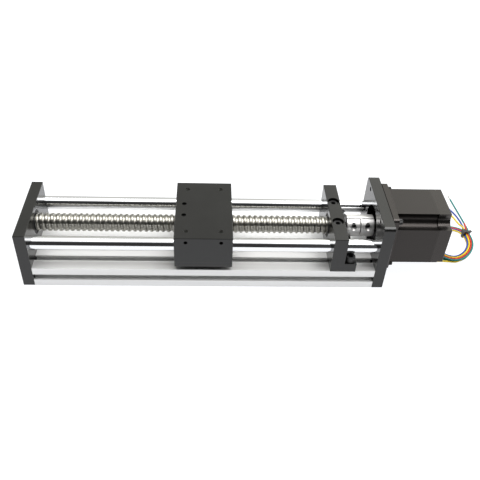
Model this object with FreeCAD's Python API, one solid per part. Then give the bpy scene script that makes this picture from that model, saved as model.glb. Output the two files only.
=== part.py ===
import FreeCAD, Part
import math
import os

# Ball screw linear module: a carriage on two round guide rods, driven by a
# 16 mm ball screw with a 5 mm lead, which a 57 mm stepper motor turns through
# a clamp coupling. Millimetres. +X runs towards the motor, +Y to the back and
# +Z up. The origin is the middle of the base extrusion's underside.

V = FreeCAD.Vector
X_AXIS = V(1, 0, 0)
Y_AXIS = V(0, 1, 0)
Z_AXIS = V(0, 0, 1)

# Driving dimensions: base extrusion
base_length = 300.0
base_width = 78.0
base_height = 20.0
slot_offset = 25.0            # T-slot centre from the middle, top and bottom
slot_opening = 6.0
slot_lip = 2.0
slot_width = 11.0
slot_depth = 6.0
side_slot_width = 9.0
side_slot_depth = 5.5
cell_inner = 4.0              # hollow cell, from the middle rib outwards
cell_width = 7.0
cell_wall = 3.0

# Driving dimensions: the line of the screw and the rods
axis_height = 40.5
rod_offset = 28.5
rod_diameter = 12.0
rod_seat_depth = 4.0

# Driving dimensions: end plates
plate_thickness = 10.0
plate_rise = 15.5             # plate top above the axis
motor_plate_rise = 27.6
motor_plate_corner = 3.5
edge_break = 0.3              # small chamfer on the machined blocks' edges
pilot_diameter = 38.1

# Driving dimensions: ball screw and its bearings
screw_diameter = 16.0
screw_lead = 5.0
track_depth = 1.2
track_width = 3.3             # of the ball track, at the crest
track_floor_width = 1.5
journal_diameter = 10.0
shoulder_diameter = 12.5
shoulder_length = 1.0
journal_chamfer = 0.5
free_end_length = 8.0
bearing_diameter = 22.0
bearing_width = 6.0
bearing_ring_diameter = 13.0  # outside of the inner ring
relief_diameter = 15.5        # opening through the left end plate
shield_diameter = 19.2
shield_recess = 0.3

# Driving dimensions: bearing block on the motor side
block_left = 109.5
block_web = 12.0
block_overhang = 1.0          # block and carriage past the base on each side
block_rise = 16.0             # block top above the axis
foot_length = 10.5
block_screw_offset = 14.5
block_screw_length = 40.0
block_counterbore_depth = 7.0
foot_screw_inset = 5.0
foot_screw_length = 14.0

# Driving dimensions: lock nut and coupling
lock_nut_diameter = 21.4
lock_nut_width = 3.4
lock_nut_boss = 0.5
spanner_notch_width = 3.0
spanner_notch_depth = 1.6
coupling_gap = 0.5
coupling_diameter = 20.0
coupling_length = 25.0
coupling_slit = 1.0
coupling_turn = 15.0          # degrees that the slit leans to the front
coupling_screw_radius = 6.7
coupling_screw_inset = 6.2
coupling_screw_seat = 3.2     # from the slit's middle out to the head's seat
coupling_saw_end = 2.2        # how far below the axis the saw cut ends
screw_end_gap = 1.0

# Driving dimensions: carriage
carriage_rest = -2.0          # middle of the carriage as photographed
carriage_length = 50.0
carriage_height = 32.0
top_hole_pitch_x = 30.0
top_hole_pitch_y = 60.0
top_hole_depth = 5.5
side_hole_height = 52.0
side_hole_depth = 6.0
top_hole_diameter = 4.2       # tapping size for M5
side_hole_diameter = 3.3      # tapping size for M4
nut_screw_inset = 7.5
nut_screw_offset = 8.0
nut_diameter = 28.0
nut_length = 46.0
wiper_diameter = 26.8
bushing_diameter = 18.0
bushing_length = 20.0
oil_groove_width = 3.0
oil_groove_depth = 0.75

# Driving dimensions: stepper motor
motor_side = 56.4
motor_length = 53.0
flange_thickness = 5.0
flange_corner = 3.0
pilot_height = 1.6
motor_hole_pitch = 47.14
rear_cap_length = 11.0
stack_flat = 18.2             # half of the flat part of a side
stack_step = 2.2
stack_slope = 1.7
stack_round = 2.3
cap_flat = 18.2
cap_notch_chamfer = 4.0
motor_shaft_diameter = 8.0
motor_shaft_reach = 20.8
motor_bearing_diameter = 22.0
motor_bearing_width = 7.0
motor_bearing_inset = 0.5
hub_wall = 2.0
rotor_diameter = 31.2
rotor_gap = 0.4
winding_inner = 35.0
winding_outer = 43.0
winding_length = 5.0
rotor_setback = 1.5
through_screw_offset = 17.2
cap_end_wall = 3.0
shaft_end_gap = 0.5
through_thread_floor = 1.0    # metal left in the flange past the threads

# Driving dimensions: screws, as shank, head diameter, head height, socket
m2_5 = (2.5, 4.5, 2.5, 2.0)
m3 = (3.0, 5.5, 3.0, 2.5)
m4 = (4.0, 7.0, 4.0, 3.0)
m5 = (5.0, 8.5, 5.0, 4.0)
socket_depth = 0.5            # share of the head's height
countersunk_head = 9.2
countersunk_socket = 3.0
countersunk_socket_depth = 0.7
thread_run_out = 0.5
plate_screw_length = 16.0
mount_screw_length = 12.0
coupling_screw_length = 8.0
grub_length = 5.0
grub_recess = 1.9
grub_socket = 2.0

# Named clearances, all on the radius
seat_clearance = 0.02
running_clearance = 0.05
shield_clearance = 0.1
lock_nut_clearance = 0.3      # lock nut's rim above the block's foot
thread_clearance = 0.1
bolt_clearance = 0.25
counterbore_clearance = 0.75
rod_pass_clearance = 0.1
shaft_pass_clearance = 1.0
pocket_clearance = 0.3
cord_clearance = 0.05

# Driving dimensions: motor leads, tied in a flat loop on the standing surface
wire_diameter = 1.6
wire_pitch = 1.7
loop_bottom = 1.0             # the tie's strap lifts the loop off the surface
lead_exit_x = 207.5
lead_exit_y = -5.0
grommet_length = 5.0
grommet_thickness = 3.0
grommet_stand = 0.8
grommet_margin = 0.6
lead_in_cap = 1.0
tie_width = 2.6
tie_strap = 1.0
tie_head = 4.4
tie_head_height = 2.6
tie_head_overhang = 0.6
tie_stub = 1.6
tie_sink = 0.2                # how far the head and the stub run into the strap

# Worked out from the above
plate_height = axis_height + plate_rise
motor_plate_height = axis_height + motor_plate_rise
block_top = axis_height + block_rise
block_width = base_width + 2 * block_overhang
carriage_width = block_width
foot_height = axis_height - base_height - lock_nut_diameter / 2 - lock_nut_clearance
foot_screw_offset = block_width / 2 - foot_screw_inset
plate_inner = base_length / 2
motor_face = plate_inner + plate_thickness
bearing_face = block_left + block_web
foot_end = bearing_face + foot_length
lock_nut_end = bearing_face + lock_nut_boss + lock_nut_width
coupling_start = lock_nut_end + coupling_gap
coupling_end = coupling_start + coupling_length
shaft_tip = motor_face - motor_shaft_reach
carriage_bottom = axis_height - carriage_height / 2
carriage_top = axis_height + carriage_height / 2
flange_back = motor_face + flange_thickness
cap_start = motor_face + motor_length - rear_cap_length
motor_end = motor_face + motor_length
wire_radius = wire_diameter / 2
web_middle = block_left + block_web / 2
foot_middle = bearing_face + foot_length / 2
block_seat = block_top - block_counterbore_depth
grub_top = carriage_top - grub_recess
motor_bottom = axis_height - motor_side / 2
cut_margin = 1.0              # how far a cutter runs past the surface it opens


def box(x0, x1, y0, y1, z0, z1):
    return Part.makeBox(x1 - x0, y1 - y0, z1 - z0, V(x0, y0, z0))


def cylinder_x(x0, x1, y, z, diameter):
    return Part.makeCylinder(diameter / 2, x1 - x0, V(x0, y, z), X_AXIS)


def cylinder_y(y0, y1, x, z, diameter):
    return Part.makeCylinder(diameter / 2, y1 - y0, V(x, y0, z), Y_AXIS)


def cylinder_z(z0, z1, x, y, diameter):
    return Part.makeCylinder(diameter / 2, z1 - z0, V(x, y, z0), Z_AXIS)


def wider(diameter, clearance):
    return diameter + 2 * clearance


def prism_x(outline, x0, x1):
    """Extrude a closed outline of (y, z) points along X."""
    points = [V(x0, y, z) for y, z in outline]
    face = Part.Face(Part.makePolygon(points + points[:1]))
    return face.extrude(V(x1 - x0, 0, 0))


def tube_x(x0, x1, outer, inner):
    ring = cylinder_x(x0, x1, 0, axis_height, outer)
    return ring.cut(cylinder_x(x0, x1, 0, axis_height, inner))


def fuse_all(shapes):
    return shapes[0].multiFuse(shapes[1:]).removeSplitter()


def cap_screw(sizes, length, place, direction):
    """Socket head screw: its head's seat at place, its shank along direction."""
    shank, head, height, socket = sizes
    screw = Part.makeCylinder(shank / 2, length, place, direction)
    top = place - direction * height
    screw = screw.fuse(Part.makeCylinder(head / 2, height, top, direction))
    return cut_socket(screw, socket, height * socket_depth, top, direction)


def countersunk_screw(length, place, direction):
    """Flush screw: the outer face of its head at place."""
    shank = m5[0]
    cone = (countersunk_head - shank) / 2
    screw = Part.makeCylinder(shank / 2, length, place, direction)
    head = Part.makeCone(countersunk_head / 2, shank / 2, cone, place, direction)
    depth = cone * countersunk_socket_depth
    return cut_socket(screw.fuse(head), countersunk_socket, depth, place, direction)


def countersink(place, direction):
    """The hole that the flush screw fills: clearance bore and cone."""
    shank = m5[0]
    cone = (countersunk_head - shank) / 2
    bore = Part.makeCylinder(shank / 2 + bolt_clearance, plate_thickness, place, direction)
    cone_top = countersunk_head / 2 + seat_clearance
    head = Part.makeCone(cone_top, shank / 2 + seat_clearance, cone, place, direction)
    return bore.fuse(head)


def cut_socket(screw, width, depth, top, direction):
    """Sink a hexagon socket, width across flats, into a screw's top."""
    across = V(0, 0, 1) if abs(direction.z) < 0.5 else V(1, 0, 0)
    corners = []
    for step in range(6):
        turn = FreeCAD.Rotation(direction, 60 * step)
        corners.append(top + turn.multVec(across) * (width / math.sqrt(3)))
    hexagon = Part.Face(Part.makePolygon(corners + corners[:1]))
    return screw.cut(hexagon.extrude(direction * depth))


# Base extrusion: a flat profile with a T-slot near each edge, above and
# below, a groove along each side, two hollow cells and three screw cores.

def t_slot(width, lip, cavity, depth):
    """Outline of a T-slot that opens upwards at height 0, as (across, height)."""
    half = width / 2
    wide = cavity / 2
    bevel = (depth - lip) / 2
    return [(-half, 0), (-half, -lip), (-wide, -lip), (-wide, bevel - depth),
            (bevel - wide, -depth), (wide - bevel, -depth), (wide, bevel - depth),
            (wide, -lip), (half, -lip), (half, 0)]


def base_extrusion():
    half = base_width / 2
    middle = base_height / 2
    body = box(-plate_inner, plate_inner, -half, half, 0, base_height)
    top = t_slot(slot_opening, slot_lip, slot_width, slot_depth)
    side = t_slot(slot_opening, slot_lip, side_slot_width, side_slot_depth)
    cuts = []
    for hand in (-1, 1):
        above = [(hand * slot_offset + a, base_height + h) for a, h in top]
        below = [(hand * slot_offset + a, -h) for a, h in top]
        beside = [(hand * (half + h), middle + a) for a, h in side]
        for outline in (above, below, beside):
            cuts.append(prism_x(outline, -plate_inner, plate_inner))
        near, far = sorted((hand * cell_inner, hand * (cell_inner + cell_width)))
        cuts.append(box(-plate_inner, plate_inner, near, far,
                        cell_wall, base_height - cell_wall))
    hole = wider(m5[0], thread_clearance)
    for x, y, depth in base_threads():
        cuts.append(cylinder_z(base_height - depth, base_height, x, y, hole))
    for y in core_places():
        cuts.append(cylinder_x(-plate_inner, plate_inner, y, middle, hole))
    return body.cut(cuts)


def core_places():
    return (-slot_offset, 0.0, slot_offset)


def base_threads():
    """The block's tapped holes in the base, as (x, y, depth)."""
    top_depth = block_screw_length - (block_seat - base_height) + thread_run_out
    foot_depth = foot_screw_length - foot_height + thread_run_out
    threads = []
    for hand in (-1, 1):
        threads.append((web_middle, hand * block_screw_offset, top_depth))
        threads.append((foot_middle, hand * foot_screw_offset, foot_depth))
    return threads


# End plates: black blocks across both ends of the base. They hold the rods in
# shallow seats; flush screws from outside reach into the base and the rods.

def plate_screw_places():
    places = [(y, base_height / 2) for y in core_places()]
    return places + [(-rod_offset, axis_height), (rod_offset, axis_height)]


def cut_plate(plate, inner, outer):
    """Rod seats from the inner face and countersinks from the outer one."""
    inward = 1 if outer < inner else -1
    seat_end = inner - inward * rod_seat_depth
    x0, x1 = sorted((inner, seat_end))
    cuts = []
    for y in (-rod_offset, rod_offset):
        cuts.append(cylinder_x(x0, x1, y, axis_height, wider(rod_diameter, seat_clearance)))
    for y, z in plate_screw_places():
        cuts.append(countersink(V(outer, y, z), V(inward, 0, 0)))
    return plate.cut(cuts)


def left_end_plate():
    half = base_width / 2
    outer = -plate_inner - plate_thickness
    plate = box(outer, -plate_inner, -half, half, 0, plate_height)
    plate = plate.makeChamfer(edge_break, plate.Edges)
    plate = cut_plate(plate, -plate_inner, outer)
    seat = cylinder_x(-plate_inner - bearing_width, -plate_inner, 0, axis_height,
                      wider(bearing_diameter, seat_clearance))
    relief = cylinder_x(outer, -plate_inner, 0, axis_height, relief_diameter)
    return plate.cut([seat, relief])


def motor_plate():
    half = base_width / 2
    plate = box(plate_inner, motor_face, -half, half, 0, motor_plate_height)
    corners = [e for e in plate.Edges if is_top_corner(e)]
    plate = plate.makeFillet(motor_plate_corner, corners)
    plate = plate.makeChamfer(edge_break, face_edges(plate, plate_inner, motor_face))
    plate = cut_plate(plate, plate_inner, motor_face)
    cuts = [cylinder_x(plate_inner, motor_face, 0, axis_height, pilot_bore())]
    for y, z in motor_hole_places():
        hole = wider(m4[0], thread_clearance)
        cuts.append(cylinder_x(plate_inner, motor_face, y, z, hole))
    return plate.cut(cuts)


def face_edges(shape, x0, x1):
    """The edges that lie wholly in the plane x0 or the plane x1."""
    found = []
    for edge in shape.Edges:
        low, high = edge.BoundBox.XMin, edge.BoundBox.XMax
        if high - low < 0.01 and min(abs(low - x0), abs(low - x1)) < 0.01:
            found.append(edge)
    return found


def is_top_corner(edge):
    """True for the two edges along X at the top of the motor plate."""
    low = min(vertex.Z for vertex in edge.Vertexes)
    span = abs(edge.Vertexes[0].X - edge.Vertexes[-1].X)
    return low > motor_plate_height - 0.01 and span > plate_thickness / 2


def pilot_bore():
    return wider(pilot_diameter, running_clearance)


def motor_hole_places():
    half = motor_hole_pitch / 2
    return [(y, axis_height + z) for y in (-half, half) for z in (-half, half)]


def plate_screws(outer, direction):
    screws = []
    for y, z in plate_screw_places():
        screws.append(countersunk_screw(plate_screw_length, V(outer, y, z), direction))
    return Part.makeCompound(screws)


def guide_rod(y):
    """Chromed rod from seat to seat, tapped at both ends."""
    end = plate_inner + rod_seat_depth
    rod = cylinder_x(-end, end, y, axis_height, rod_diameter)
    rims = [e for e in rod.Edges if len(e.Vertexes) == 1]
    rod = rod.makeChamfer(journal_chamfer, rims)
    depth = plate_screw_length - (plate_thickness - rod_seat_depth) + thread_run_out
    hole = wider(m5[0], thread_clearance)
    left = cylinder_x(-end, depth - end, y, axis_height, hole)
    right = cylinder_x(end - depth, end, y, axis_height, hole)
    return rod.cut([left, right])


# Bearings: narrow shielded ball bearings. The outer ring and its shields stay
# with the housing, and the inner ring turns with the screw.

def bearing_outer(x0):
    ring = tube_x(x0, x0 + bearing_width, bearing_diameter,
                  wider(bearing_ring_diameter, shield_clearance))
    near = cylinder_x(x0, x0 + shield_recess, 0, axis_height, shield_diameter)
    far = cylinder_x(x0 + bearing_width - shield_recess, x0 + bearing_width,
                     0, axis_height, shield_diameter)
    return ring.cut([near, far])


def bearing_inner(x0):
    return tube_x(x0, x0 + bearing_width, bearing_ring_diameter,
                  wider(journal_diameter, seat_clearance))


# Bearing block: an L-shaped black block. Its upright web holds two bearings
# side by side and lets the rods through; its foot carries two more screws.

def bearing_block():
    half = block_width / 2
    profile = [V(block_left, -half, base_height), V(foot_end, -half, base_height),
               V(foot_end, -half, base_height + foot_height),
               V(bearing_face, -half, base_height + foot_height),
               V(bearing_face, -half, block_top), V(block_left, -half, block_top)]
    face = Part.Face(Part.makePolygon(profile + profile[:1]))
    block = face.extrude(V(0, block_width, 0))
    block = block.makeChamfer(edge_break, [e for e in block.Edges if not is_foot_inner(e)])
    cuts = [cylinder_x(block_left, bearing_face, 0, axis_height,
                       wider(bearing_diameter, seat_clearance))]
    head_bore = wider(m5[1], counterbore_clearance)
    shank_bore = wider(m5[0], bolt_clearance)
    for hand in (-1, 1):
        cuts.append(cylinder_x(block_left, bearing_face, hand * rod_offset, axis_height,
                               wider(rod_diameter, rod_pass_clearance)))
        y = hand * block_screw_offset
        cuts.append(cylinder_z(block_seat, block_top,
                               web_middle, y, head_bore))
        cuts.append(cylinder_z(base_height, block_top, web_middle, y, shank_bore))
        y = hand * foot_screw_offset
        cuts.append(cylinder_z(base_height, base_height + foot_height,
                               foot_middle, y, shank_bore))
    return block.cut(cuts)


def is_foot_inner(edge):
    """True for the inner corner of the L, where the web meets the foot."""
    box_of = edge.BoundBox
    return (abs(box_of.XMin - bearing_face) + abs(box_of.XMax - bearing_face) < 0.01
            and box_of.ZMax < base_height + foot_height + 0.01
            and box_of.ZMin > base_height + foot_height - 0.01)


def block_top_screws():
    screws = []
    for hand in (-1, 1):
        seat = V(web_middle, hand * block_screw_offset, block_seat)
        screws.append(cap_screw(m5, block_screw_length, seat, -Z_AXIS))
    return Part.makeCompound(screws)


def block_foot_screws():
    screws = []
    for hand in (-1, 1):
        seat = V(foot_middle, hand * foot_screw_offset, base_height + foot_height)
        screws.append(cap_screw(m5, foot_screw_length, seat, -Z_AXIS))
    return Part.makeCompound(screws)


# Ball screw: one bar with a journal at the free end, a shoulder, the threaded
# length, a shoulder and the long drive journal. The ball track is a right-hand
# groove rolled into the threaded length, drawn here with a flat floor.

def screw_stations():
    """Diameter steps along the bar, as (end of the step, diameter)."""
    start = -plate_inner - free_end_length
    return start, [(-plate_inner, journal_diameter),
                   (-plate_inner + shoulder_length, shoulder_diameter),
                   (block_left - shoulder_length, screw_diameter),
                   (block_left, shoulder_diameter),
                   (shaft_tip - screw_end_gap, journal_diameter)]


def ball_screw():
    start, steps = screw_stations()
    first = steps[0][1] / 2
    last = steps[-1][1] / 2
    outline = [V(start, 0, axis_height),
               V(start, 0, axis_height + first - journal_chamfer),
               V(start + journal_chamfer, 0, axis_height + first)]
    for end, diameter in steps[:-1]:
        outline.append(V(end, 0, axis_height + diameter / 2))
        outline.append(V(end, 0, axis_height + next_radius(steps, end)))
    end = steps[-1][0]
    outline.append(V(end - journal_chamfer, 0, axis_height + last))
    outline.append(V(end, 0, axis_height + last - journal_chamfer))
    outline.append(V(end, 0, axis_height))
    face = Part.Face(Part.makePolygon(outline + outline[:1]))
    bar = face.revolve(V(0, 0, axis_height), X_AXIS, 360)
    return bar.cut(ball_track()).Solids[0]


def ball_track():
    """Cutter for the track, swept along a helix one turn past both shoulders."""
    start = shoulder_length - plate_inner - screw_lead
    end = block_left - shoulder_length + screw_lead
    crest = screw_diameter / 2
    rim = crest + cut_margin
    floor = crest - track_depth
    flank = (track_width - track_floor_width) / 2 / track_depth
    rim_half = track_width / 2 + flank * cut_margin
    floor_half = track_floor_width / 2
    section = [V(rim, 0, -rim_half), V(floor, 0, -floor_half),
               V(floor, 0, floor_half), V(rim, 0, rim_half)]
    helix = Part.Wire(Part.makeLongHelix(screw_lead, end - start, crest, 0, False))
    cutter = helix.makePipeShell([Part.makePolygon(section + section[:1])], True, True)
    cutter.rotate(V(0, 0, 0), Y_AXIS, 90)
    cutter.rotate(V(0, 0, 0), X_AXIS, 90)
    cutter.translate(V(start, 0, axis_height))
    return cutter


def next_radius(steps, end):
    """Radius of the step that starts where another one ends."""
    ends = [step[0] for step in steps]
    return steps[ends.index(end) + 1][1] / 2


# Lock nut: a black ring nut with four spanner notches. Only its small boss
# bears on the inner ring, so that it clears the block.

def lock_nut():
    body_start = bearing_face + lock_nut_boss
    bore = wider(journal_diameter, seat_clearance)
    nut = tube_x(body_start, lock_nut_end, lock_nut_diameter, bore)
    boss = tube_x(bearing_face, body_start, shoulder_diameter, bore)
    nut = nut.fuse(boss)
    rim = axis_height + lock_nut_diameter / 2
    half = spanner_notch_width / 2
    notch = box(body_start, lock_nut_end, -half, half,
                rim - spanner_notch_depth, rim + cut_margin)
    cuts = []
    for quarter in range(4):
        cutter = notch.copy()
        cutter.rotate(V(0, 0, axis_height), X_AXIS, 45 + 90 * quarter)
        cuts.append(cutter)
    return nut.cut(cuts).removeSplitter()


# Clamp coupling: one aluminium piece. A slit runs along it into the bore, a
# saw cut halfway parts its two clamping arms, and a screw across the slit
# draws each arm onto its shaft. Drawn upright first, then leaned to the front.

def coupling_middle():
    return (coupling_start + coupling_end) / 2


def coupling_screw_places():
    return (coupling_start + coupling_screw_inset, coupling_end - coupling_screw_inset)


def leaned(shape):
    turned = shape.copy()
    turned.rotate(V(0, 0, axis_height), X_AXIS, coupling_turn)
    return turned


def coupling():
    middle = coupling_middle()
    radius = coupling_diameter / 2
    body = cylinder_x(coupling_start, coupling_end, 0, axis_height, coupling_diameter)
    rims = [e for e in body.Edges if len(e.Vertexes) == 1]
    body = body.makeChamfer(journal_chamfer, rims)
    cuts = [cylinder_x(coupling_start, middle, 0, axis_height,
                       wider(journal_diameter, seat_clearance)),
            cylinder_x(middle, coupling_end, 0, axis_height,
                       wider(motor_shaft_diameter, seat_clearance)),
            box(coupling_start, coupling_end, -coupling_slit / 2, coupling_slit / 2,
                axis_height, axis_height + radius + cut_margin),
            box(middle - coupling_slit / 2, middle + coupling_slit / 2,
                -radius - cut_margin, 0,
                axis_height - coupling_saw_end, axis_height + radius + cut_margin)]
    z = axis_height + coupling_screw_radius
    seat = -coupling_screw_seat
    for x in coupling_screw_places():
        cuts.append(cylinder_y(-radius - cut_margin, seat, x, z,
                               wider(m2_5[1], pocket_clearance)))
        end = seat + coupling_screw_length + thread_run_out
        cuts.append(cylinder_y(seat, end, x, z, wider(m2_5[0], thread_clearance)))
    return leaned(body.cut(cuts))


def coupling_screws():
    z = axis_height + coupling_screw_radius
    screws = []
    for x in coupling_screw_places():
        seat = V(x, -coupling_screw_seat, z)
        screws.append(leaned(cap_screw(m2_5, coupling_screw_length, seat, Y_AXIS)))
    return Part.makeCompound(screws)


# Carriage: a black block with a bore for the nut and one for each rod's
# bushings, tapped holes on top and on both sides, and two nut lock screws.

def bushing_start(end):
    """Start of the bushing at the carriage's left (-1) or right (1) end."""
    edge = carriage_rest + end * carriage_length / 2
    return edge if end < 0 else edge - bushing_length


def nut_screw_places():
    x = carriage_rest - carriage_length / 2 + nut_screw_inset
    return [(x, -nut_screw_offset), (x, nut_screw_offset)]


def carriage_block():
    x0 = carriage_rest - carriage_length / 2
    x1 = carriage_rest + carriage_length / 2
    half = carriage_width / 2
    block = box(x0, x1, -half, half, carriage_bottom, carriage_top)
    block = block.makeChamfer(edge_break, block.Edges)
    cuts = [cylinder_x(x0, x1, 0, axis_height, wider(nut_diameter, seat_clearance))]
    for y in (-rod_offset, rod_offset):
        bore = wider(bushing_diameter, seat_clearance)
        cuts.append(cylinder_x(x0, x1, y, axis_height, bore))
    for hand in (-1, 1):
        x = carriage_rest + hand * top_hole_pitch_x / 2
        for y in (-top_hole_pitch_y / 2, top_hole_pitch_y / 2):
            cuts.append(cylinder_z(carriage_top - top_hole_depth, carriage_top, x, y,
                                   top_hole_diameter))
        cuts.append(cylinder_y(-half, side_hole_depth - half, x, side_hole_height,
                               side_hole_diameter))
        cuts.append(cylinder_y(half - side_hole_depth, half, x, side_hole_height,
                               side_hole_diameter))
    for x, y in nut_screw_places():
        hole = wider(m4[0], thread_clearance)
        cuts.append(cylinder_z(axis_height, carriage_top, x, y, hole))
    return block.cut(cuts)


def ball_nut():
    """Round ball nut, dimpled on top for its two lock screws."""
    x0 = carriage_rest - nut_length / 2
    x1 = carriage_rest + nut_length / 2
    nut = cylinder_x(x0, x1, 0, axis_height, nut_diameter)
    rims = [e for e in nut.Edges if len(e.Vertexes) == 1]
    nut = nut.makeChamfer(journal_chamfer, rims)
    cuts = [cylinder_x(x0, x1, 0, axis_height, wider(screw_diameter, running_clearance))]
    hole = wider(m4[0], thread_clearance)
    for x, y in nut_screw_places():
        cuts.append(cylinder_z(grub_top - grub_length, carriage_top, x, y, hole))
    return nut.cut(cuts)


def nut_wiper(end):
    """Plastic wiper ring that closes one end of the nut."""
    face = carriage_rest + end * nut_length / 2
    outside = carriage_rest + end * carriage_length / 2
    x0, x1 = sorted((face, outside))
    inner = wider(screw_diameter, pocket_clearance)
    return tube_x(x0, x1, wiper_diameter, inner)


def guide_bushing(end, y):
    """Plain bronze sleeve with an oil groove between its ends."""
    x0 = bushing_start(end)
    x1 = x0 + bushing_length
    sleeve = cylinder_x(x0, x1, y, axis_height, bushing_diameter)
    bore = cylinder_x(x0, x1, y, axis_height, wider(rod_diameter, running_clearance))
    middle = (x0 + x1) / 2
    half = oil_groove_width / 2
    groove = cylinder_x(middle - half, middle + half, y, axis_height,
                        rod_diameter + 2 * oil_groove_depth)
    return sleeve.cut([bore, groove])


def nut_lock_screws():
    screws = []
    for x, y in nut_screw_places():
        grub = cylinder_z(grub_top - grub_length, grub_top, x, y, m4[0])
        top = V(x, y, grub_top)
        screws.append(cut_socket(grub, grub_socket, grub_socket, top, -Z_AXIS))
    return Part.makeCompound(screws)


# Stepper motor: flange with a pilot, a stepped lamination stack, a rear cap,
# rotor and shaft on two bearings, end windings and four through screws.

def corner_outline(corner):
    """Repeat one corner's (y, z) points around a square, as a closed outline."""
    outline = []
    for quarter in range(4):
        turn = math.radians(90 * quarter)
        for y, z in corner:
            outline.append((y * math.cos(turn) - z * math.sin(turn),
                            axis_height + y * math.sin(turn) + z * math.cos(turn)))
    return outline


def stack_corner():
    """Stepped corner: a lip, a short slope, a rounded notch, and back again."""
    half = motor_side / 2
    inner = stack_flat + stack_slope
    wall = half - stack_step
    turn = [(inner, wall - stack_slope)]
    for step in range(4):
        angle = math.radians(30 * step)
        centre = inner + stack_round
        turn.append((centre - stack_round * math.cos(angle),
                     centre - stack_round * math.sin(angle)))
    turn.append((wall - stack_slope, inner))
    lip = [(half, stack_flat), (wall, stack_flat)]
    return lip + turn[::-1] + [(stack_flat, wall), (stack_flat, half)]


def cap_corner():
    half = motor_side / 2
    inner = cap_flat + cap_notch_chamfer
    return [(half, cap_flat), (inner, cap_flat), (cap_flat, inner), (cap_flat, half)]


def motor_flange():
    half = motor_side / 2
    plate = box(motor_face, flange_back, -half, half, axis_height - half, axis_height + half)
    corners = [e for e in plate.Edges
               if abs(e.Vertexes[0].X - e.Vertexes[-1].X) > flange_thickness / 2]
    plate = plate.makeFillet(flange_corner, corners)
    pilot = cylinder_x(motor_face - pilot_height, motor_face, 0, axis_height, pilot_diameter)
    hub = cylinder_x(flange_back, front_bearing_end(), 0, axis_height, hub_diameter())
    body = fuse_all([plate, pilot, hub])
    cuts = [cylinder_x(front_bearing_start(), front_bearing_end(), 0, axis_height,
                       wider(motor_bearing_diameter, seat_clearance)),
            cylinder_x(motor_face - pilot_height, front_bearing_start(), 0, axis_height,
                       wider(motor_shaft_diameter, shaft_pass_clearance))]
    for y, z in motor_hole_places():
        hole = wider(m4[0], bolt_clearance)
        cuts.append(cylinder_x(motor_face, flange_back, y, z, hole))
    for y, z in through_screw_places():
        hole = wider(m3[0], thread_clearance)
        cuts.append(cylinder_x(motor_face + through_thread_floor, flange_back, y, z, hole))
    return body.cut(cuts)


def hub_diameter():
    return motor_bearing_diameter + 2 * hub_wall


def front_bearing_start():
    return motor_face + motor_bearing_inset


def front_bearing_end():
    return front_bearing_start() + motor_bearing_width


def rear_bearing_start():
    return motor_end - cap_end_wall - motor_bearing_width


def through_screw_places():
    at = through_screw_offset
    return [(y, axis_height + z) for y in (-at, at) for z in (-at, at)]


def motor_stator():
    stack = prism_x(corner_outline(stack_corner()), flange_back, cap_start)
    recess = flange_back + winding_length + rotor_setback / 2
    cuts = [cylinder_x(flange_back, cap_start, 0, axis_height,
                       wider(rotor_diameter, rotor_gap)),
            cylinder_x(flange_back, recess, 0, axis_height,
                       wider(winding_outer, seat_clearance))]
    for y, z in through_screw_places():
        hole = wider(m3[0], bolt_clearance)
        cuts.append(cylinder_x(flange_back, cap_start, y, z, hole))
    return stack.cut(cuts)


def motor_windings():
    """The two rings of coil ends, in front of and behind the stack."""
    front = tube_x(flange_back, flange_back + winding_length, winding_outer, winding_inner)
    rear = tube_x(cap_start, cap_start + winding_length, winding_outer, winding_inner)
    return Part.makeCompound([front, rear])


def motor_rear_cap():
    cap = prism_x(corner_outline(cap_corner()), cap_start, motor_end)
    cap = cap.makeChamfer(edge_break, face_edges(cap, motor_end, motor_end))
    cuts = [tube_x(cap_start, cap_start + winding_length,
                   wider(winding_outer, seat_clearance), hub_diameter()),
            cylinder_x(cap_start, rear_bearing_start(), 0, axis_height,
                       wider(motor_shaft_diameter, shaft_pass_clearance)),
            cylinder_x(rear_bearing_start(), motor_end - cap_end_wall, 0, axis_height,
                       wider(motor_bearing_diameter, seat_clearance))]
    for y, z in through_screw_places():
        hole = wider(m3[0], bolt_clearance)
        cuts.append(cylinder_x(cap_start, motor_end, y, z, hole))
        pocket = wider(m3[1], pocket_clearance)
        cuts.append(cylinder_x(motor_end - m3[2], motor_end, y, z, pocket))
    cuts.append(grommet_body(cord_clearance))
    return cap.cut(cuts)


def motor_bearing(x0):
    ring = tube_x(x0, x0 + motor_bearing_width, motor_bearing_diameter,
                  wider(motor_shaft_diameter, running_clearance))
    near = tube_x(x0, x0 + shield_recess, shield_diameter, bearing_ring_diameter)
    far = tube_x(x0 + motor_bearing_width - shield_recess, x0 + motor_bearing_width,
                 shield_diameter, bearing_ring_diameter)
    return ring.cut([near, far])


def rotor_ends():
    start = flange_back + winding_length + rotor_setback
    return start, cap_start - rotor_setback


def motor_shaft():
    end = motor_end - cap_end_wall - shaft_end_gap
    shaft = cylinder_x(shaft_tip, end, 0, axis_height, motor_shaft_diameter)
    rims = [e for e in shaft.Edges if len(e.Vertexes) == 1]
    return shaft.makeChamfer(journal_chamfer, rims)


def motor_rotor():
    start, end = rotor_ends()
    return tube_x(start, end, rotor_diameter, wider(motor_shaft_diameter, seat_clearance))


def motor_mount_screws():
    screws = []
    for y, z in motor_hole_places():
        screws.append(cap_screw(m4, mount_screw_length, V(flange_back, y, z), -X_AXIS))
    return Part.makeCompound(screws)


def motor_through_screws():
    tip = motor_face + through_thread_floor + thread_run_out
    length = motor_end - m3[2] - tip
    screws = []
    for y, z in through_screw_places():
        seat = V(motor_end - m3[2], y, z)
        screws.append(cap_screw(m3, length, seat, -X_AXIS))
    return Part.makeCompound(screws)


# Motor leads: four thin wires leave a grommet under the rear cap, make one
# flat loop and a bit more on the standing surface, and pass a cable tie. The
# loop is one closed solid of their outer shape; the ends are plain tubes.

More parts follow.
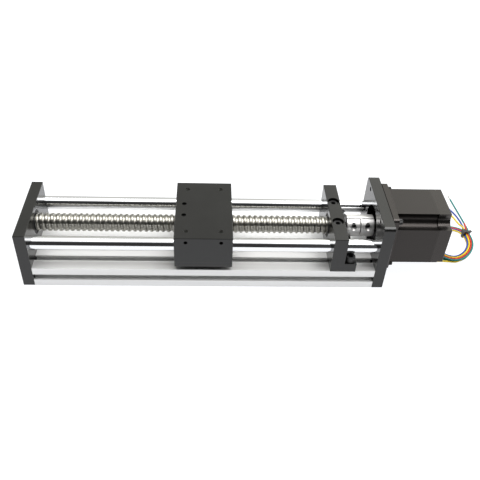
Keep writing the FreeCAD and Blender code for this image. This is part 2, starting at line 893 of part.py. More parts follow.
def grommet_body(grow):
    half_x = grommet_length / 2 + grow
    half_y = 2 * wire_pitch + grommet_margin + grow
    return box(lead_exit_x - half_x, lead_exit_x + half_x,
               lead_exit_y - half_y, lead_exit_y + half_y,
               motor_bottom - grow, motor_bottom + grommet_thickness + grow)


def wire_grommet():
    low = motor_bottom
    half_y = 2 * wire_pitch + grommet_margin
    half_x = grommet_length / 2
    lip = box(lead_exit_x - half_x, lead_exit_x + half_x, lead_exit_y - half_y,
              lead_exit_y + half_y, low - grommet_stand, low)
    body = fuse_all([grommet_body(0), lip])
    across = wire_radius + cord_clearance
    along = max(lane_offsets()) + across
    slot = box(lead_exit_x - across, lead_exit_x + across,
               lead_exit_y - along, lead_exit_y + along,
               low - grommet_stand, low + lead_in_cap)
    return body.cut(slot)


def lane_offsets():
    """The four wires side by side, from the loop's inside to its outside."""
    return [(lane - 1.5) * wire_pitch for lane in range(4)]


loop_points = [(236.5, -4.5), (249.0, 2.5), (257.5, 16.0), (260.5, 29.0),
               (256.5, 40.0), (247.0, 44.5), (237.5, 43.0), (229.8, 36.5),
               (225.0, 27.0), (223.2, 16.5), (224.0, 6.0), (228.5, -2.0)]
tie_place = (258.6, 34.2)
tie_heading = (-0.342, 0.94)

# Wires from the inside of the loop outwards where they leave the motor.
wire_names = ["blue", "red", "teal", "yellow"]

# Each wire's start: straight down from the grommet, a turn onto the surface,
# a small wander to the front, then a slant into the loop up to its end.
lead_ends = [229.0, 231.5, 234.0, 238.0]
lead_turn_height = 8.6
lead_turn_reach = 3.8
lead_turn_lift = 0.6
lead_wander_x = 220.0
lead_wander = 0.7
lead_slant = 0.14

# The free end of each wire, past the tie.
tail_points = {
    "yellow": [(255.3, 36.3, 3.5), (257.6, 44.5, 1.7), (256.8, 54.5, 0.9),
               (254.2, 66.0, 0.8), (247.0, 82.0, 0.8)],
    "blue": [(257.0, 35.8, 3.5), (259.8, 45.5, 1.5), (260.0, 57.0, 0.8),
             (257.6, 70.0, 0.8), (249.0, 90.0, 0.8)],
    "red": [(258.6, 35.4, 3.5), (260.9, 43.0, 3.4), (262.2, 50.5, 2.9)],
    "teal": [(260.1, 34.9, 3.4), (262.7, 43.5, 1.6), (263.2, 55.0, 0.8),
             (261.8, 73.0, 0.8), (260.2, 93.5, 0.8)],
}
strip_length = 7.0
strip_diameter = 0.9


def lead_points(lane, end):
    """From the grommet down to the surface and along it into the loop."""
    y = lead_exit_y - lane
    wander_y = y - lead_wander
    rest = loop_bottom + wire_radius
    return [(lead_exit_x, y, motor_bottom + lead_in_cap),
            (lead_exit_x, y, lead_turn_height),
            (lead_exit_x + lead_turn_reach, y, rest + lead_turn_lift),
            (lead_wander_x, wander_y, rest),
            (end, wander_y + lead_slant * (end - lead_wander_x), rest)]


def tangent_path(points, closed=False):
    """Straight runs joined by tangent arcs; also the radii of the arcs."""
    corners = [V(*point) for point in points]
    count = len(corners)
    inner = range(count) if closed else range(1, count - 1)
    edges = []
    radii = []
    start = None if closed else corners[0]
    first = None
    for index in inner:
        before, corner, after = (corners[index - 1], corners[index],
                                 corners[(index + 1) % count])
        back = before - corner
        ahead = after - corner
        cut = 0.45 * min(back.Length, ahead.Length)
        half_turn = (math.pi - back.getAngle(ahead)) / 2
        radius = cut / math.tan(half_turn)
        back.normalize()
        ahead.normalize()
        enter = corner + back * cut
        leave = corner + ahead * cut
        inward = back + ahead
        inward.normalize()
        middle = corner + inward * (radius / math.cos(half_turn) - radius)
        if start is not None:
            edges.append(Part.LineSegment(start, enter).toShape())
        edges.append(Part.Arc(enter, middle, leave).toShape())
        radii.append(radius)
        first = enter if first is None else first
        start = leave
    last = first if closed else corners[-1]
    edges.append(Part.LineSegment(start, last).toShape())
    return Part.Wire(edges), radii


def wire_tube(name, points, diameter=wire_diameter):
    """A plain tube along a cord's route."""
    path, radii = tangent_path(points)
    heading = V(*points[1]) - V(*points[0])
    ring = Part.Wire(Part.makeCircle(diameter / 2, V(*points[0]), heading))
    tube = path.makePipeShell([ring], True, False)
    expected = math.pi * diameter ** 2 / 4 * path.Length
    print("%-18s length %6.1f  volume/expected %.3f  tightest bend %.1f"
          % (name, path.Length, tube.Volume / expected, min(radii)))
    return tube


def wire_loop():
    """Closed solid of the outer shape of the tied loop."""
    points = [(x, y, loop_bottom) for x, y in loop_points]
    path, radii = tangent_path(points, closed=True)
    half = 2 * wire_pitch
    outer = Part.Face(path.makeOffset2D(half))
    inner = Part.Face(path.makeOffset2D(-half))
    print("wire_loop          length %6.1f  tightest bend %.1f" % (path.Length, min(radii)))
    return outer.cut(inner).extrude(V(0, 0, 2 * wire_pitch))


def tail(name):
    tube = wire_tube(name + "_wire_end", tail_points[name])
    if name == "red":
        return tube
    before, last = tail_points[name][-2:]
    heading = V(*last) - V(*before)
    heading.normalize()
    bare = Part.makeCylinder(strip_diameter / 2, strip_length, V(*last), heading)
    return fuse_all([tube, bare])


def cable_tie():
    """Strap around the loop with its square head on the inner side."""
    half_across = 2 * wire_pitch + tie_strap
    top = loop_bottom + 2 * wire_pitch + tie_strap
    strap = box(-half_across, half_across, -tie_width / 2, tie_width / 2, 0, top)
    room = 2 * wire_pitch + cord_clearance
    hole = box(-room, room, -tie_width, tie_width,
               loop_bottom - cord_clearance, loop_bottom + 2 * wire_pitch + cord_clearance)
    head_start = -half_across - tie_head_overhang
    head = box(head_start, head_start + tie_head, -tie_head / 2, tie_head / 2,
               top - tie_sink, top + tie_head_height)
    stub = box(half_across - tie_sink, half_across + tie_stub,
               -tie_width / 2, tie_width / 2, top - tie_strap, top)
    tie = fuse_all([strap.cut(hole), head, stub])
    turn = math.degrees(math.atan2(-tie_heading[0], tie_heading[1]))
    tie.rotate(V(0, 0, 0), Z_AXIS, turn)
    tie.translate(V(tie_place[0], tie_place[1], 0))
    return tie


# Every piece, by name
parts = {
    "base_extrusion": base_extrusion(),
    "left_end_plate": left_end_plate(),
    "motor_plate": motor_plate(),
    "left_plate_screws": plate_screws(-plate_inner - plate_thickness, X_AXIS),
    "motor_plate_screws": plate_screws(motor_face, -X_AXIS),
    "guide_rod_front": guide_rod(-rod_offset),
    "guide_rod_rear": guide_rod(rod_offset),
    "bearing_block": bearing_block(),
    "block_top_screws": block_top_screws(),
    "block_foot_screws": block_foot_screws(),
    "ball_screw": ball_screw(),
    "lock_nut": lock_nut(),
    "coupling": coupling(),
    "coupling_screws": coupling_screws(),
    "carriage_block": carriage_block(),
    "ball_nut": ball_nut(),
    "nut_lock_screws": nut_lock_screws(),
    "motor_flange": motor_flange(),
    "motor_stator": motor_stator(),
    "motor_windings": motor_windings(),
    "motor_rear_cap": motor_rear_cap(),
    "motor_front_bearing": motor_bearing(front_bearing_start()),
    "motor_rear_bearing": motor_bearing(rear_bearing_start()),
    "motor_shaft": motor_shaft(),
    "motor_rotor": motor_rotor(),
    "motor_mount_screws": motor_mount_screws(),
    "motor_through_screws": motor_through_screws(),
    "wire_grommet": wire_grommet(),
    "wire_loop": wire_loop(),
    "cable_tie": cable_tie(),
}

bearing_starts = {"end_bearing": -plate_inner - bearing_width,
                  "block_bearing_left": block_left,
                  "block_bearing_right": block_left + bearing_width}
for name, start in bearing_starts.items():
    parts[name + "_outer_ring"] = bearing_outer(start)
    parts[name + "_inner_ring"] = bearing_inner(start)

for side, end in (("left", -1), ("right", 1)):
    parts["nut_wiper_" + side] = nut_wiper(end)
    parts["bushing_front_" + side] = guide_bushing(end, -rod_offset)
    parts["bushing_rear_" + side] = guide_bushing(end, rod_offset)

for name, offset, end in zip(wire_names, lane_offsets(), lead_ends):
    start_name = name + "_wire_start"
    parts[start_name] = wire_tube(start_name, lead_points(offset, end))
    parts[name + "_wire_end"] = tail(name)

os.makedirs("parts", exist_ok=True)
for name, shape in parts.items():
    solids = shape.Solids
    if not shape.isValid() or not solids:
        raise ValueError("not a valid solid: " + name)
    shape.exportStep("parts/" + name + ".step")
print(len(parts), "pieces written")
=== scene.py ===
import math

import bmesh
import bpy
from mathutils import Matrix, Quaternion, Vector


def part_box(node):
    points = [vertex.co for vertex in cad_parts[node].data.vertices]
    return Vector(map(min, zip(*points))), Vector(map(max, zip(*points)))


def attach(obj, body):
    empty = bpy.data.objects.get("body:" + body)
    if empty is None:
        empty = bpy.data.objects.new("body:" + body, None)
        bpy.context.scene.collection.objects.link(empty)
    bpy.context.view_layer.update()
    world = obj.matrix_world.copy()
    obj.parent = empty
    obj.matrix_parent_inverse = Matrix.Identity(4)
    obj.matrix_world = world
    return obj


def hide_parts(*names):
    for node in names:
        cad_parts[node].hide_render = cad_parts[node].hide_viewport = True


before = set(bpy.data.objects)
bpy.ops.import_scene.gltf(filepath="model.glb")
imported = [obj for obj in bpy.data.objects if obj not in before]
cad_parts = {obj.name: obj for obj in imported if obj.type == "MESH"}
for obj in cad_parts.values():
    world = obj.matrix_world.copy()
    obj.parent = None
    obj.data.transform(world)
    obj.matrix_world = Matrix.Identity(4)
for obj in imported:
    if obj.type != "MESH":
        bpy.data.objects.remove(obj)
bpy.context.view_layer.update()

# The view. The camera stands in front of the module and looks down on it at
# about 41 degrees, a little to the right and a little rolled. The table is white,
# under a wide softbox and a striplight, and the room behind the camera is dark.
camera_place = (0.00148, -0.44849, 0.40785)
camera_aim = (0.05036, 0.75655, -0.65200)
camera_roll = math.radians(3.07)
camera = bpy.data.objects.new("camera", bpy.data.cameras.new("camera"))
bpy.context.scene.collection.objects.link(camera)
camera.data.lens = 48.27
camera.data.sensor_width = 36.0
camera.location = camera_place
camera.rotation_euler = (Vector(camera_aim).to_track_quat("-Z", "Y")
                         @ Quaternion((0, 0, 1), camera_roll)).to_euler()
bpy.context.scene.camera = camera


def colour(code):
    """A shader's linear colour from an sRGB hex value such as "c8c9ca"."""
    parts = [int(code[i:i + 2], 16) / 255 for i in (0, 2, 4)]
    linear = [p / 12.92 if p <= 0.04045 else ((p + 0.055) / 1.055) ** 2.4 for p in parts]
    return (*linear, 1.0)


def add(tree, kind, inputs=None, **settings):
    """Add a node: its settings first, then a value or a link for each input."""
    node = tree.nodes.new(kind)
    for name, value in settings.items():
        setattr(node, name, value)
    for socket, value in (inputs or {}).items():
        if isinstance(value, bpy.types.NodeSocket):
            tree.links.new(value, node.inputs[socket])
        else:
            node.inputs[socket].default_value = value
    return node


def finish_of(name):
    """A new material with its tree and its main shader."""
    material = bpy.data.materials.new(name)
    material.use_nodes = True
    return material, material.node_tree, material.node_tree.nodes["Principled BSDF"]


def set_inputs(shader, **values):
    """Set a shader's plain numbers and colours by socket name."""
    for name, value in values.items():
        shader.inputs[name.replace("_", " ")].default_value = value


def soft_light(name, place, aim, size, power):
    """A softbox of that width and depth that faces a point."""
    lamp = bpy.data.lights.new(name, "AREA")
    lamp.shape = "RECTANGLE"
    lamp.size, lamp.size_y = size
    lamp.energy = power
    light = bpy.data.objects.new(name, lamp)
    bpy.context.scene.collection.objects.link(light)
    light.location = place
    direction = Vector(aim) - Vector(place)
    light.rotation_euler = direction.to_track_quat("-Z", "Y").to_euler()


# The room's brightness by angle round the module's long axis, in degrees: 0 is
# the horizon at the back, 90 straight up and 180 the horizon behind the camera.
room_light = [(-180, 0.03), (-150, 0.35), (0, 0.45), (40, 0.62), (62, 0.90), (80, 1.0),
              (110, 1.0), (122, 0.03), (180, 0.03)]
room_power = 1.25
right_side_gain = 2.0
right_side_from, right_side_to = 0.08, 0.26
back_wall_warmth = 0.07
back_wall_top = 60


def studio_room():
    """Light by angle in the plane across the module, from the back horizon up.

    Pale at the back, a broad bright ceiling, then a dark room behind the
    camera. The right-hand side is brighter, because black tops shine more there.
    """
    world = bpy.context.scene.world or bpy.data.worlds.new("room")
    bpy.context.scene.world = world
    world.use_nodes = True
    tree = world.node_tree
    tree.nodes.clear()
    direction = add(tree, "ShaderNodeTexCoord").outputs["Generated"]
    parts = add(tree, "ShaderNodeSeparateXYZ", {"Vector": direction}).outputs
    angle = add(tree, "ShaderNodeMath", {0: parts["Z"], 1: parts["Y"]}, operation="ARCTAN2")
    turn = add(tree, "ShaderNodeMapRange", {"Value": angle.outputs[0], "From Min": -math.pi,
                                            "From Max": math.pi})
    ramp = add(tree, "ShaderNodeValToRGB", {"Fac": turn.outputs[0]})
    stops = ramp.color_ramp.elements
    for degrees, _ in room_light[1:-1]:
        stops.new((degrees + 180) / 360)
    for stop, (degrees, level) in zip(stops, room_light):
        stop.position = (degrees + 180) / 360
        warm = back_wall_warmth if 0 <= degrees < back_wall_top else 0.0
        stop.color = (level, level, level * (1 - warm), 1)
    side = add(tree, "ShaderNodeMapRange",
               {"Value": parts["X"], "From Min": right_side_from, "From Max": right_side_to,
                "To Min": room_power, "To Max": room_power * right_side_gain})
    room = add(tree, "ShaderNodeBackground", {"Color": ramp.outputs["Color"],
                                              "Strength": side.outputs[0]})
    add(tree, "ShaderNodeOutputWorld", {"Surface": room.outputs[0]})


bpy.context.scene.view_settings.view_transform = "Standard"
studio_room()
soft_light("overhead_softbox", (-0.18, 0.12, 1.2), (-0.18, 0.12, 0.0), (0.9, 0.7), 10.0)
soft_light("right_striplight", (0.46, 0.12, 1.0), (0.46, 0.12, 0.0), (0.30, 1.25), 5.0)

# Table. A wide sheet of opal plastic, lit from below, so that it reads as white
# beside the bright metal.
table_width = 8.0
table_glow = 1.01
table_white, _, table_shader = finish_of("lit_opal_table")
set_inputs(table_shader, Base_Color=colour("6c6c6c"), Roughness=0.9,
           Emission_Color=colour("fafbfe"), Emission_Strength=table_glow)
bpy.ops.mesh.primitive_plane_add(size=table_width, location=(0, 0, 0))
table = bpy.context.active_object
table.name = "table"
table.data.materials.append(table_white)

# Motor leads. Four thin wires with coloured insulation hang from a slot under
# the rear cap, make two turns of a flat loop on the table, side by side, and
# pass a cable tie twice. Their free ends fan out behind it, three of them bare.
MM = 0.001
wire_thickness = 1.6
wire_pitch = 1.7
wire_exit = (207.5, -5.0, 13.3)
slot_mouth_height = 8.6
bare_length, strand_radius, strand_sides = 7.0, 0.45, 14

# The way from the slot to the loop: x, how far to the rear of the exit, height.
wire_approach = [(211.3, 1.6, 2.4), (219.5, 2.9, 1.5), (229.0, 2.7, 1.5)]
loop_route = [(238.2, -5.4), (249.8, 2.2), (257.3, 15.5), (259.6, 27.5),
              (257.0, 39.5), (247.0, 44.5), (237.5, 43.0), (229.8, 36.5),
              (225.0, 27.0), (223.2, 16.5), (224.0, 6.0), (228.6, -1.1)]

# Lane and height of each wire at the loop's twelve points, lanes in wire pitches
# from the loop's middle outwards: first turn, then the first four points again
# for the second turn. On the first turn the yellow wire crosses over the others
# to the inside, under a low hump in the second turn, and behind the motor it
# crosses the blue one.
wire_lanes = {
    "blue": [(-1.5, 1.8), (-1.2, 1.8), (-0.5, 1.8), (-0.5, 1.8), (-0.5, 1.8), (-0.5, 1.8),
             (-0.5, 1.8), (-0.7, 1.8), (-1.4, 1.8), (-1.5, 1.9), (-1.5, 2.7), (-1.5, 3.7),
             (-1.5, 4.9), (-1.5, 5.8), (-1.5, 4.9), (-1.5, 3.5)],
    "red": [(-0.5, 1.8), (-0.2, 1.8), (0.5, 1.8), (0.5, 1.8), (0.5, 1.8), (0.5, 1.8),
            (0.5, 1.8), (0.5, 1.8), (0.5, 1.8), (0.5, 1.9), (0.5, 2.7), (0.5, 3.7),
            (0.5, 4.9), (0.5, 5.8), (0.5, 4.9), (0.5, 3.5)],
    "teal": [(0.5, 1.8), (0.8, 1.8), (1.5, 1.8), (1.5, 1.8), (1.5, 1.8), (1.5, 1.8),
             (1.5, 1.8), (1.5, 1.8), (1.5, 1.8), (1.5, 1.9), (1.5, 2.7), (1.5, 3.7),
             (1.5, 4.9), (1.5, 5.8), (1.5, 4.9), (1.5, 3.5)],
    "yellow": [(1.5, 3.2), (0.0, 4.0), (-1.5, 3.2), (-1.5, 1.8), (-1.5, 1.8), (-1.5, 1.8),
               (-1.5, 2.8), (-1.3, 4.0), (-0.6, 3.8), (-0.5, 3.5), (-0.5, 3.4), (-0.5, 3.7),
               (-0.5, 4.9), (-0.5, 5.8), (-0.5, 4.9), (-0.5, 3.5)],
}
wire_tails = {
    "blue": [(256.4, 34.0, 3.5), (256.7, 39.0, 3.4), (258.9, 44.0, 3.3), (260.0, 50.5, 1.2),
             (260.0, 57.0, 0.8), (257.6, 70.0, 0.8), (249.0, 90.0, 0.8)],
    "yellow": [(258.1, 34.4, 3.5), (257.8, 39.0, 5.2), (257.2, 44.0, 4.8), (256.9, 50.5, 1.5),
               (254.2, 66.0, 0.8), (247.0, 82.0, 0.8)],
    "red": [(259.6, 34.9, 3.5), (260.5, 40.0, 3.5), (261.4, 45.5, 3.3), (262.2, 50.5, 2.9)],
    "teal": [(261.1, 35.2, 3.5), (262.5, 40.5, 3.3), (263.2, 46.5, 1.6), (263.3, 55.0, 0.8),
             (261.8, 73.0, 0.8), (260.2, 93.5, 0.8)],
}
wire_colours = {"blue": "1c3c92", "red": "be2412", "teal": "06746e", "yellow": "dcbe0c"}
ripple_darkness = 0.75


def beside_loop(index, lane, height):
    """The route's point of that number, moved out of the loop by its lane."""
    count = len(loop_route)
    before = Vector(loop_route[(index - 1) % count])
    here = Vector(loop_route[index % count])
    after = Vector(loop_route[(index + 1) % count])
    arriving = (here - before).normalized()
    leaving = (after - here).normalized()
    heading = (arriving + leaving).normalized()
    spread = lane * wire_pitch / max(arriving.dot(heading), 0.5)
    return (here.x + heading.y * spread, here.y - heading.x * spread, height)


def wire_route(name):
    """Slot, table, first turn, the change of places, second turn and tail."""
    lanes = wire_lanes[name]
    y = wire_exit[1] - lanes[0][0] * wire_pitch
    points = [(wire_exit[0], y, wire_exit[2]), (wire_exit[0], y, slot_mouth_height)]
    points += [(x, y + shift, height) for x, shift, height in wire_approach]
    points += [beside_loop(i, *place) for i, place in enumerate(lanes)]
    return points + wire_tails[name]


def noise_on(tree, scale, detail):
    """Noise fixed to the piece, whose grain is 1 / scale metres across."""
    place = add(tree, "ShaderNodeTexCoord").outputs["Object"]
    return add(tree, "ShaderNodeTexNoise",
               {"Vector": place, "Scale": scale, "Detail": detail}).outputs[0]


def bands_on(tree, direction, scale, distortion=0.0, detail=2.0):
    """Waves fixed to the piece; along an axis they are 0.314 / scale metres apart."""
    place = add(tree, "ShaderNodeTexCoord").outputs["Object"]
    return add(tree, "ShaderNodeTexWave",
               {"Vector": place, "Scale": scale, "Distortion": distortion, "Detail": detail},
               bands_direction=direction).outputs["Fac"]


def relief(tree, shader, height, strength, distance):
    """Light the surface as if it rose and fell with the height."""
    bump = add(tree, "ShaderNodeBump",
               {"Height": height, "Strength": strength, "Distance": distance})
    tree.links.new(bump.outputs[0], shader.inputs["Normal"])


def wire_insulation(name):
    """Extruded PVC: an even colour with a soft shine and faint ripples."""
    material, tree, shader = finish_of("pvc_insulation_" + name)
    ripple = noise_on(tree, 600.0, 2.0)
    tint = add(tree, "ShaderNodeMix", {"Factor": ripple}, data_type="RGBA")
    light, dark = tint.inputs[6], tint.inputs[7]
    light.default_value = colour(wire_colours[name])
    dark.default_value = (*(ripple_darkness * part for part in light.default_value[:3]), 1.0)
    tree.links.new(tint.outputs[2], shader.inputs["Base Color"])
    relief(tree, shader, ripple, 0.15, 0.0002)
    set_inputs(shader, Roughness=0.42, IOR=1.40)
    return material


def tinned_copper():
    """Twisted bare strands, tinned: grey and a little rough."""
    material, tree, shader = finish_of("tinned_copper_strands")
    relief(tree, shader, bands_on(tree, "DIAGONAL", 900.0, distortion=1.0), 0.6, 0.0001)
    set_inputs(shader, Base_Color=colour("a9a7a0"), Metallic=1.0, Roughness=0.35)
    return material


def rod_mesh(name, start, end, radius, sides, material):
    """A closed round bar between two points, in millimetres."""
    axis = Vector(end) - Vector(start)
    shape = bmesh.new()
    turn = axis.to_track_quat("Z", "Y").to_matrix().to_4x4()
    middle = Matrix.Translation((Vector(start) + Vector(end)) / 2 * MM)
    bmesh.ops.create_cone(shape, cap_ends=True, segments=sides, radius1=radius * MM,
                          radius2=radius * MM, depth=axis.length * MM, matrix=middle @ turn)
    mesh = bpy.data.meshes.new(name)
    shape.to_mesh(mesh)
    shape.free()
    mesh.materials.append(material)
    bar = bpy.data.objects.new(name, mesh)
    bpy.context.scene.collection.objects.link(bar)
    return bar


bare_strands = tinned_copper()
for wire_name in wire_lanes:
    route = [Vector(point) * MM for point in wire_route(wire_name)]
    line = bpy.data.curves.new(wire_name + "_lead", "CURVE")
    line.dimensions = "3D"
    line.bevel_depth = wire_thickness / 2 * MM
    line.bevel_resolution = 5
    line.resolution_u = 8
    line.use_fill_caps = True
    spline = line.splines.new("NURBS")
    spline.points.add(len(route) - 1)
    for control, point in zip(spline.points, route):
        control.co = (*point, 1.0)
    spline.order_u = 3
    spline.use_endpoint_u = True
    line.materials.append(wire_insulation(wire_name))
    lead = bpy.data.objects.new(wire_name + "_lead", line)
    bpy.context.scene.collection.objects.link(lead)
    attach(lead, "base")
    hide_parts(wire_name + "_wire_start", wire_name + "_wire_end", "wire_loop")
    if wire_name != "red":
        last, previous = route[-1] / MM, route[-2] / MM
        tip = last + (last - previous).normalized() * bare_length
        strands = rod_mesh(wire_name + "_bare_end", last, tip, strand_radius,
                           strand_sides, bare_strands)
        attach(strands, "base")

# Base. A flat extruded aluminium profile with T-slots along its whole length and
# fine lines from the die. It is clear anodised: the film scatters some of the
# light, so the finish is part metal and part white.


def streaks_on(tree, stretch, detail=2.0):
    """Noise fixed to the piece, with its own scale along X, Y and Z."""
    place = add(tree, "ShaderNodeTexCoord").outputs["Object"]
    stretched = add(tree, "ShaderNodeMapping", {"Vector": place, "Scale": stretch})
    return add(tree, "ShaderNodeTexNoise",
               {"Vector": stretched.outputs[0], "Scale": 1.0, "Detail": detail}).outputs[0]


def shine_between(tree, shader, driver, least, most):
    """Let the roughness follow the driver from least to most."""
    shine = add(tree, "ShaderNodeMapRange", {"Value": driver, "To Min": least, "To Max": most})
    tree.links.new(shine.outputs[0], shader.inputs["Roughness"])


def tint_between(tree, shader, driver, dark, light, starts=0.0, ends=1.0):
    """Let the base colour follow the driver from the dark code to the light one."""
    tint = add(tree, "ShaderNodeValToRGB", {"Fac": driver})
    for stop, position, code in zip(tint.color_ramp.elements, (starts, ends), (dark, light)):
        stop.position = position
        stop.color = colour(code)
    tree.links.new(tint.outputs[0], shader.inputs["Base Color"])


def clear_anodised_extrusion():
    """Satin aluminium whose shine varies in streaks, 0.4 mm wide, along it."""
    material, tree, shader = finish_of("clear_anodised_extrusion")
    streaks = streaks_on(tree, (1 / 0.25, 1 / 0.0004, 1 / 0.0004), detail=4.0)
    patches = streaks_on(tree, (1 / 0.12, 1 / 0.006, 1 / 0.006))
    shine_between(tree, shader, streaks, 0.42, 0.56)
    tint_between(tree, shader, patches, "d9d9d8", "e9e9e8")
    relief(tree, shader, streaks, 0.25, 0.00003)
    set_inputs(shader, Metallic=0.6)
    return material


def dress(node, material):
    """Give a carried-over piece its finish."""
    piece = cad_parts[node]
    piece.data.materials.clear()
    piece.data.materials.append(material)


dress("base_extrusion", clear_anodised_extrusion())

# End plates, bearing block and carriage. Sawn and milled aluminium blocks with
# broken edges, bead blasted and black anodised: a fine, even, satin black. The
# walls of the four tapped holes in the carriage's top are painted paler. This is
# painted light, standing in for the light that falls into them from above.


def black_anodised():
    """Blasted grain 0.25 mm across, under a black film with faint clouds."""
    material, tree, shader = finish_of("blasted_black_anodised")
    cloud = noise_on(tree, 45.0, 3.0)
    tint_between(tree, shader, cloud, "0d0d0c", "131312", starts=0.3, ends=0.7)
    shine_between(tree, shader, cloud, 0.17, 0.24)
    relief(tree, shader, noise_on(tree, 4000.0, 2.0), 0.12, 0.00005)
    set_inputs(shader, IOR=1.48)
    return material


def painted_lit_hole_wall():
    """The wall of a tapped hole, with threads 0.8 mm apart, painted pale: painted light
    falling into the hole from above.
    """
    material, tree, shader = finish_of("hole_wall_painted_light")
    relief(tree, shader, bands_on(tree, "Z", 393.0), 0.5, 0.0002)
    set_inputs(shader, Base_Color=colour("62625e"), Roughness=0.55)
    return material


anodised_black = black_anodised()
for block in ("left_end_plate", "motor_plate", "bearing_block", "carriage_block"):
    dress(block, anodised_black)
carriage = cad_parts["carriage_block"].data
carriage.materials.append(painted_lit_hole_wall())
carriage_low, carriage_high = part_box("carriage_block")
carriage_middle = (carriage_low.x + carriage_high.x) / 2
corner_hole_x, corner_hole_y, corner_hole_reach = 0.015, 0.030, 0.0024
corner_hole_floor = carriage_high.z - 0.008
below_top_face = carriage_high.z - 0.0001
# The walls of the four corner holes below the top face get the pale colour, painted light
# falling in from above.
for face in carriage.polygons:
    spot = face.center
    off_x = abs(abs(spot.x - carriage_middle) - corner_hole_x)
    off_y = abs(abs(spot.y) - corner_hole_y)
    inside = max(off_x, off_y) < corner_hole_reach
    if inside and corner_hole_floor < spot.z < below_top_face:
        face.material_index = 1

# Guide rods. Hardened steel, ground and hard chromed: close to a mirror, with
# the faintest grinding rings round it.


def hard_chrome():
    """A bright mirror, roughened a little in rings 0.3 mm apart."""
    material, tree, shader = finish_of("hard_chrome_ground")
    shine_between(tree, shader, streaks_on(tree, (3300.0, 20.0, 20.0)), 0.05, 0.12)
    set_inputs(shader, Base_Color=colour("e4e5e7"), Metallic=1.0)
    return material


def turned_bar(name, height, y, profile, sides, material):
    """A bar turned about a line along X, from (x, radius) pairs in metres."""
    shape = bmesh.new()
    rings = []
    for x, radius in profile:
        ring = []
        for step in range(sides):
            angle = 2 * math.pi * step / sides
            ring.append(shape.verts.new((x, y + radius * math.cos(angle),
                                         height + radius * math.sin(angle))))
        rings.append(ring)
    for near, far in zip(rings, rings[1:]):
        for step in range(sides):
            after = (step + 1) % sides
            shape.faces.new((near[step], near[after], far[after], far[step]))
    shape.faces.new(rings[0])
    shape.faces.new(rings[-1][::-1])
    bmesh.ops.recalc_face_normals(shape, faces=shape.faces)
    mesh = bpy.data.meshes.new(name)
    shape.to_mesh(mesh)
    shape.free()
    mesh.materials.append(material)
    mesh.shade_smooth()
    mesh.set_sharp_from_angle(angle=math.radians(30))
    bar = bpy.data.objects.new(name, mesh)
    bpy.context.scene.collection.objects.link(bar)
    return bar


chrome = hard_chrome()
rod_chamfer = 0.0005
rod_sides = 96
for side in ("front", "rear"):
    low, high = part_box("guide_rod_" + side)
    radius = (high.z - low.z) / 2
    middle = (low + high) / 2
    outline = [(low.x, radius - rod_chamfer), (low.x + rod_chamfer, radius),
               (high.x - rod_chamfer, radius), (high.x, radius - rod_chamfer)]
    rod = turned_bar("chromed_rod_" + side, middle.z, middle.y, outline, rod_sides,
                     chrome)
    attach(rod, "base")
    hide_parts("guide_rod_" + side)

# Ball screw. A rolled steel bar with a right-hand ball track, 5 mm a turn and
# 3.3 mm wide, between plain shoulders and turned journals.
track_lead = 0.005
track_depth = 0.0012
track_half_width = track_lead / 3
track_steps = 12
track_sides = 48
weld_distance = 0.000002
crest_radius = 0.008
shoulder_radius = 0.00625
journal_radius = 0.005
journal_chamfer = 0.0005
journal_sides = 72
shoulder_length = 0.001
shoulder_seam = 0.00001


def rolled_steel():
    """Bright steel with a warm grey cast, rolled smooth."""
    material, tree, shader = finish_of("rolled_bearing_steel")
    mottle = noise_on(tree, 300.0, 3.0)
    tint_between(tree, shader, mottle, "8a8881", "a5a39c")
    shine_between(tree, shader, mottle, 0.24, 0.34)
    set_inputs(shader, Metallic=1.0)
    return material


def arithmetic(tree, operation, *values):
    """One step of a sum: a maths node on numbers or links."""
    node = add(tree, "ShaderNodeMath", dict(enumerate(values)), operation=operation)
    return node.outputs[0]


def input_socket(tree, name, kind, value):
    """Give the tree a named input with its value to start from."""
    socket = tree.interface.new_socket(name, in_out="INPUT", socket_type=kind)
    socket.default_value = value


